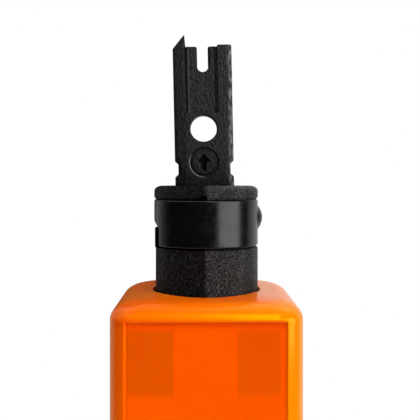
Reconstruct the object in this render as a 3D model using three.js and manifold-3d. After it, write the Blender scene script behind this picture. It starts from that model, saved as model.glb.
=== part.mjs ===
// Impact punch down tool: an orange two-half handle, a sprung black nose plunger with a
// twist-lock reversible blade, and the hammer, sear and spring that strike the blade.
// Millimetres. +Z runs up to the blade's tip, -Y is the front, and the tail stands on Z = 0.

import * as THREE from 'three';
import { mergeVertices } from 'three/addons/utils/BufferGeometryUtils.js';
import Module from 'manifold-3d';

const wasm = await Module();
wasm.setup();

// ---- Driving dimensions ----

const GAP = 0.3;                    // clearance between neighbouring pieces
const PAST = 1;                     // how far a cutting tool runs past the face it cuts

const HANDLE = { width: 29.3, depth: 27.4, height: 122, frontCorner: 4, rearCorner: 6, edgeRadius: 2.7 };
const WALL = { sides: 2.2, roof: 3.2 };
const SIDE_FACE = HANDLE.width / 2;
const REAR_FACE = HANDLE.depth / 2;
const PANEL = { halfWidth: 12.05, bottom: 14, top: 119.3, depth: 0.5 };
const GRIP = { count: 9, bottom: 38, pitch: 6, halfHeight: 1.2, depth: 0.6, halfLength: 7.5 };

const NOSE = { radius: 8.5, bottom: 91.5, flangeBottom: 137.25, top: 139.25, flangeRadius: 8.6 };
const SOCKET_RADIUS = 5.4;          // the blade's corners turn inside this bore
const SNAP_RING = { inner: 8, outer: 9.6, bottom: 93.8, top: 95.4, halfOpening: 2.6 };
const BUMPER = { bottom: 95.8, top: 98.5 };
const BAND = { outer: 8.6, thickness: 0.6, bottom: 129.5, top: 136.95, stepHeight: 3.4 };
const BAND_GAP = { lowerFront: -65, upperFront: -97, rear: -125 };  // degrees, from the front towards the right

const BLADE = { width: 9.7, thickness: 3, bottom: 111.9, top: 164.1 };
const NOTCH = { fromEnd: 22.1, depth: 0.55, halfHeight: 1.3, shoulder: 0.5 };
const DETENT = { radius: 1.5, z: BLADE.bottom + NOTCH.fromEnd, bite: 0.2 };

const TRAVEL = 6.5;                 // how far the plunger is pushed in before the hammer is let go
const SEAR_RATIO = 0.3;             // sideways movement of the sear plate per millimetre of travel
const SEAR_SHIFT = TRAVEL * SEAR_RATIO;
const SEAR = { bottom: 84, top: 87, halfWidth: 3, left: -4.5, right: 10.6 };
const RAMP = { back: 12.3, head: 12, foot: 74.7, halfWidth: 2 };
const HAMMER = { radius: 9.5, spigotBottom: 57, collarBottom: 63.3, bodyBottom: 67.5, top: 90, edge: 0.6 };
const SPIGOT_RADIUS = 3;
const ANVIL = { stemRadius: 2, headBottom: 100 };
const ANVIL_PIN = { radius: 0.9, z: 106, halfLength: 7.9, slotRise: 1.3 };

const SPRING_BORE = 5.9;            // channel of the impact spring in both shells
const HAMMER_BORE = 9.8;
const CHAMBER_BORE = 10.2;
const NOSE_BORE = NOSE.radius + GAP;
const CHAMBER_BOTTOM = 60;
const CHAMBER_STEP = 92;
const CHAMBER_TOP = 98.8;
const RIBS = [[17, 19], [28, 30], [44, 46], [56, 60], [68, 70], [93, 101.5], [112, 114]];

const DIAL = { z: 10.5, radius: 6, outerX: 14.4, thickness: 1.3, shaftRadius: 2, shaftEnd: -12.1 };
const DIAL_CAM = { base: 3.4, rise: 2, halfWidth: 2.5, turn: THREE.MathUtils.degToRad(120) };
const DIAL_CLIP = { x0: 9.3, x1: 9.8, inner: 1.8, outer: 3.4 };
const SEAT = { footRadius: 1, halfWidth: 2.2, discBottom: 17.5, discTop: 20, pilotHeight: 4 };

const POCKET = { halfWidth: 5.2, inner: 7, bottom: 4.5, top: 57.5, wall: 1.7 };
const DOOR = { halfWidth: 6.4, inner: 11.4, outer: 13.4, bottom: 3.5, top: 59 };
const DOOR_PIN = { y: 12, z: 62, radius: 0.8, knuckleRadius: 1.4, knuckleHalf: 3.5, halfLength: 6.2 };
const SHELL_FINGER_NOTCH = { radius: 3, halfLength: 4, y: 15.7, z: 2.3 };
const DOOR_FINGER_NOTCH = { radius: 1.6, halfLength: 3.5, y: 14.3, z: 7.5 };

const SCREWS = [{ x: -10.4, z: 108 }, { x: 10.4, z: 108 }, { x: -9.6, z: 36 }, { x: 9.6, z: 36 }];
const SCREW = { shankRadius: 0.8, headRadius: 1.7, seat: 6, headHeight: 1.4, tip: -6.5, bossRadius: 2.9 };

const group = new THREE.Group();
group.name = 'punch_down_tool';

// ---- Materials ----

function finish(color, roughness, metalness) {
  return new THREE.MeshStandardMaterial({ color, roughness, metalness });
}

const orangePlastic = () => finish(0xf45a06, 0.3, 0);
const castBlack = () => finish(0x232324, 0.75, 0.2);
const glossBlack = () => finish(0x0c0c0d, 0.25, 0.1);
const blackOxide = () => finish(0x1c1c1e, 0.5, 0.7);
const springSteel = () => finish(0x9a9ca0, 0.35, 1);
const brightSteel = () => finish(0xb9bbbe, 0.3, 1);
const blackRubber = () => finish(0x161616, 0.9, 0);
const blackPlastic = () => finish(0x1a1a1b, 0.45, 0);

// ---- Solids and booleans ----

// A closed geometry as a solid, with its shared vertices merged and its empty triangles dropped.
function solid(geometry) {
  const bare = geometry.clone();
  bare.deleteAttribute('normal');
  bare.deleteAttribute('uv');
  const merged = mergeVertices(bare, 1e-4);
  const corners = [];
  for (let i = 0; i < merged.index.count; i += 3) {
    const [a, b, c] = [0, 1, 2].map((k) => merged.index.getX(i + k));
    if (a !== b && b !== c && c !== a) {
      corners.push(a, b, c);
    }
  }
  return new wasm.Manifold(new wasm.Mesh({
    numProp: 3,
    vertProperties: new Float32Array(merged.attributes.position.array),
    triVerts: new Uint32Array(corners),
  }));
}

function geometryOf(body) {
  const mesh = body.getMesh();
  const geometry = new THREE.BufferGeometry();
  geometry.setAttribute('position', new THREE.BufferAttribute(new Float32Array(mesh.vertProperties), 3));
  geometry.setIndex(new THREE.BufferAttribute(new Uint32Array(mesh.triVerts), 1));
  geometry.computeVertexNormals();
  return geometry;
}

const join = (bodies) => bodies.reduce((whole, body) => whole.add(body));
const cut = (body, tools) => tools.reduce((left, tool) => left.subtract(tool), body);

// The biggest piece of a body, without the crumbs that a cut may leave.
function largest(body) {
  return body.decompose().reduce((best, piece) => (piece.volume() > best.volume() ? piece : best));
}

function addPart(name, body, material) {
  const mesh = new THREE.Mesh(geometryOf(body), material);
  mesh.name = name;
  group.add(mesh);
}

// ---- Basic shapes, all placed in the tool's own frame ----

function block([x0, x1], [y0, y1], [z0, z1]) {
  const geometry = new THREE.BoxGeometry(x1 - x0, y1 - y0, z1 - z0);
  return solid(geometry.translate((x0 + x1) / 2, (y0 + y1) / 2, (z0 + z1) / 2));
}

function rodZ(radius, z0, z1, sides = 32) {
  const geometry = new THREE.CylinderGeometry(radius, radius, z1 - z0, sides);
  return solid(geometry.rotateX(Math.PI / 2).translate(0, 0, (z0 + z1) / 2));
}

function rodX(radius, x0, x1, y, z, sides = 16) {
  const geometry = new THREE.CylinderGeometry(radius, radius, x1 - x0, sides);
  return solid(geometry.rotateZ(Math.PI / 2).translate((x0 + x1) / 2, y, z));
}

function rodY(radius, y0, y1, x, z, sides = 14) {
  const geometry = new THREE.CylinderGeometry(radius, radius, y1 - y0, sides);
  return solid(geometry.translate(x, (y0 + y1) / 2, z));
}

function ball(radius, x, z) {
  return solid(new THREE.SphereGeometry(radius, 14, 10).translate(x, 0, z));
}

// A profile of [radius, z] points turned about the Z axis, listed anticlockwise.
function turned(points, sides = 36) {
  const profile = points.map(([r, z]) => new THREE.Vector2(r, z));
  return solid(new THREE.LatheGeometry(profile, sides).rotateX(Math.PI / 2));
}

function ringZ(inner, outer, z0, z1, sides = 32) {
  return turned([[inner, z0], [outer, z0], [outer, z1], [inner, z1], [inner, z0]], sides);
}

function polygon(points) {
  return new THREE.Shape(points.map(([a, b]) => new THREE.Vector2(a, b)));
}

function extruded(outline, depth, curveSegments = 8) {
  return new THREE.ExtrudeGeometry(outline, { depth, bevelEnabled: false, curveSegments });
}

// An outline in X and Y, raised from z0 to z1.
function raised(outline, z0, z1, curveSegments) {
  return solid(extruded(outline, z1 - z0, curveSegments).translate(0, 0, z0));
}

// An outline in X and Z, carried from front to back between y0 and y1.
function across(outline, y0, y1) {
  return solid(extruded(outline, y1 - y0).rotateX(Math.PI / 2).translate(0, y1, 0));
}

// An outline in Y and Z, carried sideways between x0 and x1.
function sideways(outline, x0, x1) {
  const axes = new THREE.Matrix4().makeBasis(
    new THREE.Vector3(0, 1, 0),
    new THREE.Vector3(0, 0, 1),
    new THREE.Vector3(1, 0, 0),
  );
  return solid(extruded(outline, x1 - x0).applyMatrix4(axes).translate(x0, 0, 0));
}

// front rounds the two corners at -Y, rear the two at +Y.
function roundedRectangle(halfX, halfY, front, rear = front) {
  const shape = new THREE.Shape();
  shape.moveTo(halfX - front, -halfY);
  shape.absarc(halfX - front, -halfY + front, front, -Math.PI / 2, 0);
  shape.absarc(halfX - rear, halfY - rear, rear, 0, Math.PI / 2);
  shape.absarc(-halfX + rear, halfY - rear, rear, Math.PI / 2, Math.PI);
  shape.absarc(-halfX + front, -halfY + front, front, Math.PI, Math.PI * 1.5);
  return shape;
}

class Helix extends THREE.Curve {
  constructor(radius, start, end, turns) {
    super();
    Object.assign(this, { radius, start, end, turns });
  }

  getPoint(t, target = new THREE.Vector3()) {
    const angle = 2 * Math.PI * this.turns * t;
    const height = THREE.MathUtils.lerp(this.start, this.end, t);
    return target.set(this.radius * Math.cos(angle), this.radius * Math.sin(angle), height);
  }
}

// A coil spring about the Z axis, filling the height from z0 to z1.
function coil(radius, wireRadius, z0, z1, turns) {
  const section = new THREE.Shape().absarc(0, 0, wireRadius, 0, 2 * Math.PI);
  return new THREE.ExtrudeGeometry(section, {
    steps: turns * 11,
    curveSegments: 3,
    extrudePath: new Helix(radius, z0 + wireRadius, z1 - wireRadius, turns),
  });
}

// ---- Handle shells ----

// The handle's outer block, with rounded corners and edges.
function handleBlock() {
  const { height, frontCorner, rearCorner, edgeRadius } = HANDLE;
  const outline = roundedRectangle(SIDE_FACE, REAR_FACE, frontCorner, rearCorner);
  const geometry = new THREE.ExtrudeGeometry(outline, {
    depth: height - 2 * edgeRadius,
    bevelThickness: edgeRadius,
    bevelSize: edgeRadius,
    bevelOffset: -edgeRadius,
    bevelSegments: 3,
    curveSegments: 4,
  });
  return solid(geometry.translate(0, 0, edgeRadius));
}

function handleHollow() {
  const { sides, roof } = WALL;
  const outline = roundedRectangle(SIDE_FACE - sides, REAR_FACE - sides, sides);
  return raised(outline, sides, HANDLE.height - roof, 3);
}

// Inner features start inside the walls, so that they join them.
const ROOT_X = SIDE_FACE - WALL.sides / 2;
const ROOT_Y = REAR_FACE - WALL.sides / 2;

// Cross ribs, which carry the moving pieces along the Z axis.
function crossRibs() {
  return RIBS.map((heights) => block([-ROOT_X, ROOT_X], [-ROOT_Y, ROOT_Y], heights));
}

function screwBosses() {
  return SCREWS.map(({ x, z }) => rodY(SCREW.bossRadius, -ROOT_Y, ROOT_Y, x, z));
}

// Walls round the spare blade's pocket, behind the impact spring, and the block that holds the door's pin.
function pocketWalls() {
  const { halfWidth, bottom, top, wall } = POCKET;
  const side = halfWidth + wall;
  const pinSide = DOOR_PIN.halfLength + GAP + wall / 2;
  return [
    block([-side, side], [SPRING_BORE - GAP, ROOT_Y], [bottom - wall, top + wall]),
    block([-pinSide, pinSide], [HAMMER_BORE - PAST, ROOT_Y], [top, DOOR_PIN.z + 2 * wall]),
  ];
}

// Thick places in the side walls, where the dial's shaft turns.
function dialBosses() {
  const innerFace = DIAL_CLIP.x1 + 2 * GAP;
  return [
    rodX(DIAL.radius + 1.6, innerFace, ROOT_X, 0, DIAL.z, 24),
    rodX(DIAL.shaftRadius * 2, -ROOT_X, DIAL.shaftEnd + 2.6, 0, DIAL.z),
  ];
}

function axialBores() {
  return [
    rodZ(SPRING_BORE, RIBS[0][0] - PAST, CHAMBER_BOTTOM + PAST),
    rodZ(HAMMER_BORE, CHAMBER_BOTTOM, CHAMBER_STEP),
    rodZ(CHAMBER_BORE, CHAMBER_STEP, CHAMBER_TOP),
    rodZ(NOSE_BORE, CHAMBER_TOP - PAST, HANDLE.height + PAST),
  ];
}

function dialOpenings() {
  const knobInner = DIAL.outerX - DIAL.thickness;
  const camRoom = DIAL_CAM.base + DIAL_CAM.rise + 0.8;
  const camSide = DIAL_CAM.halfWidth + 0.7;
  return [
    rodX(DIAL.radius + GAP, knobInner - GAP, SIDE_FACE + PAST, 0, DIAL.z, 28),
    rodX(DIAL.shaftRadius + GAP, DIAL.shaftEnd - GAP, knobInner, 0, DIAL.z),
    rodX(camRoom, -camSide, camSide, 0, DIAL.z, 24),
  ];
}

function screwHoles() {
  return SCREWS.flatMap(({ x, z }) => [
    rodY(SCREW.shankRadius + GAP, SCREW.tip - PAST, REAR_FACE, x, z),
    rodY(SCREW.headRadius + GAP, SCREW.seat, REAR_FACE + PAST, x, z),
  ]);
}

// Finger grooves across both side faces, well below the nose.
function gripGrooves() {
  const { count, bottom, pitch, halfHeight, depth, halfLength } = GRIP;
  const grooves = [];
  for (let i = 0; i < count; i += 1) {
    const z = bottom + i * pitch;
    for (const side of [-1, 1]) {
      const floor = side * (SIDE_FACE - depth);
      const outside = side * (SIDE_FACE + PAST);
      grooves.push(across(polygon([
        [outside, z - halfHeight - PAST],
        [outside, z + halfHeight + PAST],
        [floor, z + halfHeight * 0.4],
        [floor, z - halfHeight * 0.4],
      ]), -halfLength, halfLength));
    }
  }
  return grooves;
}

function fingerNotch({ radius, halfLength, y, z }) {
  return rodX(radius, -halfLength, halfLength, y, z);
}

// The pocket, the rebate that the door lies in, room for its knuckle, its pin's hole and a finger notch.
function pocketOpenings() {
  const outside = REAR_FACE + PAST;
  const { halfWidth, inner, bottom, top } = POCKET;
  const rebate = DOOR.halfWidth + GAP;
  const knuckle = DOOR_PIN.knuckleHalf + GAP;
  const room = DOOR_PIN.knuckleRadius + GAP;
  const pinEnd = DOOR_PIN.halfLength + GAP;
  const swingRoom = 0.8;
  return [
    block([-halfWidth, halfWidth], [inner, outside], [bottom, top]),
    block([-rebate, rebate], [DOOR.inner - GAP, outside], [DOOR.bottom - GAP, DOOR.top + swingRoom]),
    block([-knuckle, knuckle], [DOOR_PIN.y - room, outside], [DOOR.top - PAST, DOOR_PIN.z + room + GAP]),
    rodX(DOOR_PIN.radius + GAP, -pinEnd, pinEnd, DOOR_PIN.y, DOOR_PIN.z),
    fingerNotch(SHELL_FINGER_NOTCH),
  ];
}

function frontPanel() {
  const face = -REAR_FACE;
  const { halfWidth, bottom, top, depth } = PANEL;
  return block([-halfWidth, halfWidth], [face - PAST, face + depth], [bottom, top]);
}

// Seat of the ramp insert that pushes the sear plate.
function rampSeat() {
  const side = RAMP.halfWidth + GAP;
  return block([SEAR.right + GAP, RAMP.back + GAP], [-side, side], [RAMP.foot - GAP, HAMMER.top + 2 * GAP]);
}

function addShells() {
  const walls = cut(handleBlock(), [handleHollow()]);
  const insides = join([...crossRibs(), ...screwBosses(), ...pocketWalls(), ...dialBosses()]);
  const whole = cut(walls.add(insides.intersect(handleBlock())), [
    ...axialBores(),
    ...dialOpenings(),
    ...screwHoles(),
    ...gripGrooves(),
    ...pocketOpenings(),
    frontPanel(),
    rampSeat(),
  ]);
  const far = HANDLE.width;
  const height = [-PAST, HANDLE.height + PAST];
  const frontHalf = block([-far, far], [-far, -GAP / 2], height);
  const rearHalf = block([-far, far], [GAP / 2, far], height);
  addPart('front_shell', largest(whole.intersect(frontHalf)), orangePlastic());
  addPart('rear_shell', largest(whole.intersect(rearHalf)), orangePlastic());
}

function addShellScrews() {
  const { shankRadius, headRadius, seat, headHeight, tip } = SCREW;
  const under = seat + GAP;
  const driveDepth = [under + headHeight / 2, under + headHeight + PAST];
  const driveLong = 1.1;
  const driveThin = 0.25;
  SCREWS.forEach(({ x, z }, index) => {
    const body = join([
      rodY(shankRadius, tip, under + GAP, x, z, 10),
      rodY(headRadius, under, under + headHeight, x, z),
    ]);
    const drive = [
      block([x - driveLong, x + driveLong], driveDepth, [z - driveThin, z + driveThin]),
      block([x - driveThin, x + driveThin], driveDepth, [z - driveLong, z + driveLong]),
    ];
    addPart(`shell_screw_${index + 1}`, cut(body, drive), springSteel());
  });
}

// ---- Blade storage ----

function addStorageDoor() {
  const { halfWidth, inner, outer, bottom, top } = DOOR;
  const { y, z, knuckleRadius, knuckleHalf, radius, halfLength } = DOOR_PIN;
  const body = join([
    block([-halfWidth, halfWidth], [inner, outer], [bottom, top]),
    block([-knuckleHalf, knuckleHalf], [inner, outer], [top - 0.5, z]),
    rodX(knuckleRadius, -knuckleHalf, knuckleHalf, y, z),
  ]);
  const pinHole = rodX(radius + GAP, -halfLength, halfLength, y, z);
  addPart('storage_door', cut(body, [pinHole, fingerNotch(DOOR_FINGER_NOTCH)]), orangePlastic());
  addPart('door_hinge_pin', rodX(radius, -halfLength, halfLength, y, z, 12), springSteel());
}

// ---- Force dial and spring seat ----

// The cam's [turn, radius] points about the shaft. The radius grows evenly over the dial's turn,
// with a little overrun at each end, and falls back smoothly behind.
function camPoints() {
  const overrun = THREE.MathUtils.degToRad(15);
  const radiusAt = (turn) => DIAL_CAM.base + DIAL_CAM.rise * (turn / DIAL_CAM.turn);
  const first = -overrun;
  const last = DIAL_CAM.turn + overrun;
  const points = [];
  const riseSteps = 20;
  for (let i = 0; i <= riseSteps; i += 1) {
    const turn = THREE.MathUtils.lerp(first, last, i / riseSteps);
    points.push([turn, radiusAt(turn)]);
  }
  const fallSteps = 12;
  for (let i = 1; i < fallSteps; i += 1) {
    const t = i / fallSteps;
    const turn = THREE.MathUtils.lerp(last, first + 2 * Math.PI, t);
    const ease = THREE.MathUtils.smoothstep(t, 0, 1);
    points.push([turn, THREE.MathUtils.lerp(radiusAt(last), radiusAt(first), ease)]);
  }
  return points;
}

// Each cam point's turn is measured from the top, against the way the dial turns.
function addDialCam() {
  const place = ([turn, radius]) => [radius * Math.sin(turn), DIAL.z + radius * Math.cos(turn)];
  const outline = camPoints().map(place);
  const { halfWidth } = DIAL_CAM;
  const body = sideways(polygon(outline), -halfWidth, halfWidth);
  const bore = rodX(DIAL.shaftRadius + GAP, -halfWidth - PAST, halfWidth + PAST, 0, DIAL.z);
  addPart('dial_cam', cut(body, [bore]), brightSteel());
}

function addForceDial() {
  const { z, radius, outerX, thickness, shaftRadius, shaftEnd } = DIAL;
  const knobInner = outerX - thickness;
  const body = join([
    rodX(radius, knobInner, outerX, 0, z, 28),
    rodX(shaftRadius, shaftEnd, knobInner + GAP, 0, z),
  ]);
  const coinSlot = block([outerX - 0.8, outerX + PAST], [-0.7, 0.7], [z - 4.6, z + 4.6]);
  const { x0, x1, inner, outer } = DIAL_CLIP;
  const grooveFloor = rodX(inner - GAP, x0 - PAST, x1 + PAST, 0, z);
  const clipGroove = cut(rodX(outer, x0 - GAP, x1 + GAP, 0, z), [grooveFloor]);
  addPart('force_dial', cut(body, [coinSlot, clipGroove]), blackPlastic());

  const clip = cut(rodX(outer, x0, x1, 0, z), [
    rodX(inner, x0 - PAST, x1 + PAST, 0, z),
    block([x0 - PAST, x1 + PAST], [-1.1, 1.1], [z, z + outer + PAST]),
  ]);
  addPart('dial_retaining_clip', clip, springSteel());
}

function addSpringSeat() {
  const { footRadius, halfWidth, discBottom, discTop, pilotHeight } = SEAT;
  const footCentre = DIAL.z + DIAL_CAM.base + GAP + footRadius;
  addPart('spring_seat', join([
    rodX(footRadius, -halfWidth, halfWidth, 0, footCentre),
    block([-halfWidth, halfWidth], [-footRadius, footRadius], [footCentre, discBottom + GAP]),
    rodZ(SPRING_BORE - GAP, discBottom, discTop, 24),
    rodZ(SPIGOT_RADIUS, discTop - GAP, discTop + pilotHeight, 16),
  ]), brightSteel());
}

// ---- Hammer, sear and springs ----

const WASHER = { bottom: 62, top: 63 };

function addImpactSpring() {
  const wireRadius = 0.8;
  const radius = SPRING_BORE - 0.5 - wireRadius;
  const spring = coil(radius, wireRadius, SEAT.discTop + GAP, WASHER.bottom - GAP, 8);
  addPart('impact_spring', solid(spring), springSteel());
  const washer = ringZ(SPIGOT_RADIUS + GAP, SPRING_BORE - GAP, WASHER.bottom, WASHER.top, 24);
  addPart('spring_thrust_washer', washer, springSteel());
}

function addHammer() {
  const { radius, spigotBottom, collarBottom, bodyBottom, top, edge } = HAMMER;
  const collarRadius = SPRING_BORE - GAP;
  const body = turned([
    [0, spigotBottom],
    [SPIGOT_RADIUS, spigotBottom],
    [SPIGOT_RADIUS, collarBottom],
    [collarRadius, collarBottom],
    [collarRadius, bodyBottom],
    [radius - edge, bodyBottom],
    [radius, bodyBottom + edge],
    [radius, top - edge],
    [radius - edge, top],
    [0, top],
  ]);
  const searSlot = block(
    [SEAR.left - SEAR_SHIFT - GAP, radius + PAST],
    [-SEAR.halfWidth - GAP, SEAR.halfWidth + GAP],
    [SEAR.bottom - GAP, SEAR.top + GAP],
  );
  const springPocket = rodX(1.7, -radius + 0.6, SEAR.left, 0, (SEAR.bottom + SEAR.top) / 2);
  const stemBore = rodZ(ANVIL.stemRadius + GAP, SEAR.bottom - TRAVEL - 1.5, top + PAST, 16);
  const rampGroove = block(
    [SEAR.right - SEAR_SHIFT - GAP, radius + PAST],
    [-RAMP.halfWidth - 2 * GAP, RAMP.halfWidth + 2 * GAP],
    [bodyBottom - PAST, top + PAST],
  );
  addPart('hammer', cut(body, [searSlot, springPocket, stemBore, rampGroove]), brightSteel());
}

// The plate's hole lies off the tool's axis until the ramp has pushed the plate across.
function addSearPlate() {
  const { bottom, top, halfWidth, left, right } = SEAR;
  const height = [bottom - PAST, top + PAST];
  const shoulder = [right - RAMP.halfWidth, right + PAST];
  const plate = block([left, right], [-halfWidth, halfWidth], [bottom, top]);
  const hole = rodZ(ANVIL.stemRadius + GAP, ...height, 16).translate([SEAR_SHIFT, 0, 0]);
  addPart('sear_plate', cut(plate, [
    block(shoulder, [-halfWidth - PAST, -RAMP.halfWidth], height),
    block(shoulder, [RAMP.halfWidth, halfWidth + PAST], height),
    hole,
  ]), brightSteel());
}

function addSearSpring() {
  const wireRadius = 0.2;
  const start = -HAMMER.radius + 0.9;
  const spring = coil(1.15, wireRadius, start, SEAR.left - GAP, 4);
  spring.rotateY(Math.PI / 2).translate(0, 0, (SEAR.bottom + SEAR.top) / 2);
  addPart('sear_spring', solid(spring), springSteel());
}

// The ramp leans in towards the tail, so the plate is pushed across as it goes down.
function addSearRamp() {
  const contact = SEAR.right + GAP;
  const headZ = SEAR.bottom + (RAMP.head - contact) / SEAR_RATIO;
  const ramp = polygon([
    [RAMP.back, RAMP.foot],
    [RAMP.back, headZ],
    [RAMP.head, headZ],
    [contact - SEAR_SHIFT, SEAR.bottom - TRAVEL],
    [contact - SEAR_SHIFT, RAMP.foot],
  ]);
  addPart('sear_cam_insert', across(ramp, -RAMP.halfWidth, RAMP.halfWidth), springSteel());
}

// ---- Nose plunger ----

function addNoseBody() {
  const { radius, bottom, flangeBottom, top, flangeRadius } = NOSE;
  const bandGroove = BAND.outer - BAND.thickness - GAP;
  const ringGroove = SNAP_RING.inner - GAP;
  const edge = 0.4;
  const body = turned([
    [SOCKET_RADIUS, bottom],
    [radius - edge, bottom],
    [radius, bottom + edge],
    [radius, SNAP_RING.bottom - GAP],
    [ringGroove, SNAP_RING.bottom - GAP],
    [ringGroove, SNAP_RING.top + GAP],
    [radius, SNAP_RING.top + GAP],
    [radius, BAND.bottom - GAP],
    [bandGroove, BAND.bottom - GAP],
    [bandGroove, flangeBottom],
    [flangeRadius - edge, flangeBottom],
    [flangeRadius, flangeBottom + edge],
    [flangeRadius, top - edge],
    [flangeRadius - edge, top],
    [SOCKET_RADIUS + edge, top],
    [SOCKET_RADIUS, top - edge],
    [SOCKET_RADIUS, bottom],
  ], 40);
  const ballWindows = rodX(DETENT.radius + GAP, -flangeRadius, flangeRadius, 0, DETENT.z);
  const pinHole = rodY(ANVIL_PIN.radius + GAP, -flangeRadius, flangeRadius, 0, ANVIL_PIN.z, 10);
  addPart('nose_body', cut(body.add(bandStop()), [ballWindows, pinHole]), castBlack());
}

// A land that stands in the band's gap and keeps the band from turning.
function bandStop() {
  const low = BAND.bottom - GAP;
  const ring = ringZ(NOSE.radius - 2, NOSE.radius, low, BAND.bottom + BAND.stepHeight - GAP, 40);
  return ring.intersect(raised(wedge(BAND_GAP.lowerFront - 3, BAND_GAP.rear + 3), low - PAST, BAND.top));
}

function addNoseRings() {
  const { inner, outer, bottom, top, halfOpening } = SNAP_RING;
  const opening = block([-halfOpening, halfOpening], [0, outer + PAST], [bottom - PAST, top + PAST]);
  addPart('nose_snap_ring', cut(ringZ(inner, outer, bottom, top), [opening]), springSteel());
  const bumper = ringZ(NOSE_BORE + 0.1, CHAMBER_BORE - GAP, BUMPER.bottom, BUMPER.top);
  addPart('bumper_ring', bumper, blackRubber());
}

// A wedge about the Z axis, between two angles in degrees counted from the front towards the right.
function wedge(from, to) {
  const reach = 2 * BAND.outer;
  const at = (degrees) => {
    const angle = THREE.MathUtils.degToRad(degrees);
    return [reach * Math.sin(angle), -reach * Math.cos(angle)];
  };
  return polygon([[0, 0], at(from), at((from + to) / 2), at(to)]);
}

// An open ring with its gap at the left, whose front end is stepped, and a swelling over the right ball.
function addLockBand() {
  const { outer, thickness, bottom, top, stepHeight } = BAND;
  const inner = outer - thickness;
  const sides = 60;
  const swelling = cut(ball(1.7, outer - 0.8, DETENT.z), [rodZ(inner, bottom, top, sides)]);
  const { lowerFront, upperFront, rear } = BAND_GAP;
  addPart('lock_band', cut(ringZ(inner, outer, bottom, top, sides).add(swelling), [
    raised(wedge(lowerFront, rear), bottom - PAST, bottom + stepHeight),
    raised(wedge(upperFront, rear), bottom - PAST, top + PAST),
  ]), glossBlack());
}

function addDetentBalls() {
  const reach = BLADE.width / 2 - DETENT.bite + DETENT.radius;
  addPart('detent_ball_left', ball(DETENT.radius, -reach, DETENT.z), brightSteel());
  addPart('detent_ball_right', ball(DETENT.radius, reach, DETENT.z), brightSteel());
}

// The rod that the blade stands on. Its stem points down through the hammer's top to the sear plate.
function addAnvilRod() {
  const { stemRadius, headBottom } = ANVIL;
  const headRadius = SOCKET_RADIUS - GAP;
  const headTop = BLADE.bottom - GAP;
  const tip = SEAR.top + 2 * GAP;
  const edge = 0.4;
  const body = turned([
    [0, tip],
    [stemRadius - edge, tip],
    [stemRadius, tip + edge],
    [stemRadius, headBottom],
    [headRadius, headBottom],
    [headRadius, headTop],
    [0, headTop],
  ], 24);
  const pin = ANVIL_PIN;
  const halfSlot = pin.radius + GAP;
  const pinSlot = block(
    [-halfSlot, halfSlot],
    [-headRadius - PAST, headRadius + PAST],
    [pin.z - halfSlot, pin.z + halfSlot + pin.slotRise],
  );
  addPart('anvil_rod', cut(body, [pinSlot]), brightSteel());
  addPart('anvil_pin', rodY(pin.radius, -pin.halfLength, pin.halfLength, 0, pin.z, 10), springSteel());
  const spring = coil(3.3, 0.45, HAMMER.top + GAP, headBottom - GAP, 6);
  addPart('rod_return_spring', solid(spring), springSteel());
}

// ---- Blade ----

// One long edge's notch, drawn towards the next corner of the outline. side is 1 at the right.
function sideNotch(shape, side, z) {
  const { depth, halfHeight, shoulder } = NOTCH;
  const edge = side * BLADE.width / 2;
  const waist = side * (BLADE.width / 2 - depth);
  shape.lineTo(edge, z - side * halfHeight);
  shape.lineTo(waist, z - side * (halfHeight - shoulder));
  shape.lineTo(waist, z + side * (halfHeight - shoulder));
  shape.lineTo(edge, z + side * halfHeight);
}

// The blade's outline in X and Z. The upper end has a knife at its left, the lower end only pushes.
function bladeOutline() {
  const half = BLADE.width / 2;
  const { top, bottom } = BLADE;
  const corner = 0.5;
  const slotHalf = 0.9;
  const slotX = 0.05;
  const upperSlotFloor = top - 5.1;
  const lowerSlotFloor = bottom + 3.3;
  const prongTop = top - 1.9;
  const railTop = top - 1.7;
  const railInner = 2.55;
  const shape = new THREE.Shape();
  shape.moveTo(-half, bottom + corner);
  shape.lineTo(-half + corner, bottom);
  shape.lineTo(-slotHalf, bottom);
  shape.lineTo(-slotHalf, lowerSlotFloor);
  shape.absarc(0, lowerSlotFloor, slotHalf, Math.PI, 0, true);
  shape.lineTo(slotHalf, bottom);
  shape.lineTo(half - corner, bottom);
  shape.lineTo(half, bottom + corner);
  sideNotch(shape, 1, bottom + NOTCH.fromEnd);
  sideNotch(shape, 1, top - NOTCH.fromEnd);
  shape.lineTo(half, railTop - corner);
  shape.lineTo(half - corner, railTop);
  shape.lineTo(railInner, railTop);
  shape.lineTo(railInner, prongTop);
  shape.lineTo(slotX + slotHalf, prongTop);
  shape.lineTo(slotX + slotHalf, upperSlotFloor);
  shape.absarc(slotX, upperSlotFloor, slotHalf, 0, -Math.PI, true);
  shape.lineTo(slotX - slotHalf, prongTop);
  shape.lineTo(-railInner, prongTop);
  shape.lineTo(-2.75, top);
  shape.lineTo(-half, top - 2.3);
  sideNotch(shape, -1, top - NOTCH.fromEnd);
  sideNotch(shape, -1, bottom + NOTCH.fromEnd);
  shape.closePath();
  shape.holes.push(new THREE.Path().absarc(0, top - 15.4, 2.2, 0, 2 * Math.PI));
  return shape;
}

// A shallow channel in the front face behind the cutting end.
function bladeChannel() {
  const front = -BLADE.thickness / 2;
  return block([-2.6, 2.5], [front - PAST, front + 0.45], [BLADE.top - 12.9, BLADE.top + PAST]);
}

// The knife is ground from the rear face, at the blade's left.
function knifeGrind() {
  const rear = BLADE.thickness / 2;
  const grindBottom = BLADE.top - 5.5;
  const outline = polygon([
    [rear - 1.9, BLADE.top + 0.5],
    [rear, grindBottom],
    [rear + PAST, grindBottom],
    [rear + PAST, BLADE.top + 0.5],
  ]);
  return sideways(outline, -BLADE.width / 2 - PAST, -2.62);
}

// A ring sunk in the front face, which marks the cutting end.
function bladeMark() {
  const front = -BLADE.thickness / 2;
  const ring = geometryOf(ringZ(2.05, 2.4, 0, 1, 20)).rotateX(Math.PI / 2);
  return solid(ring.translate(0, front + 0.25, BLADE.top - 21));
}

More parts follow.
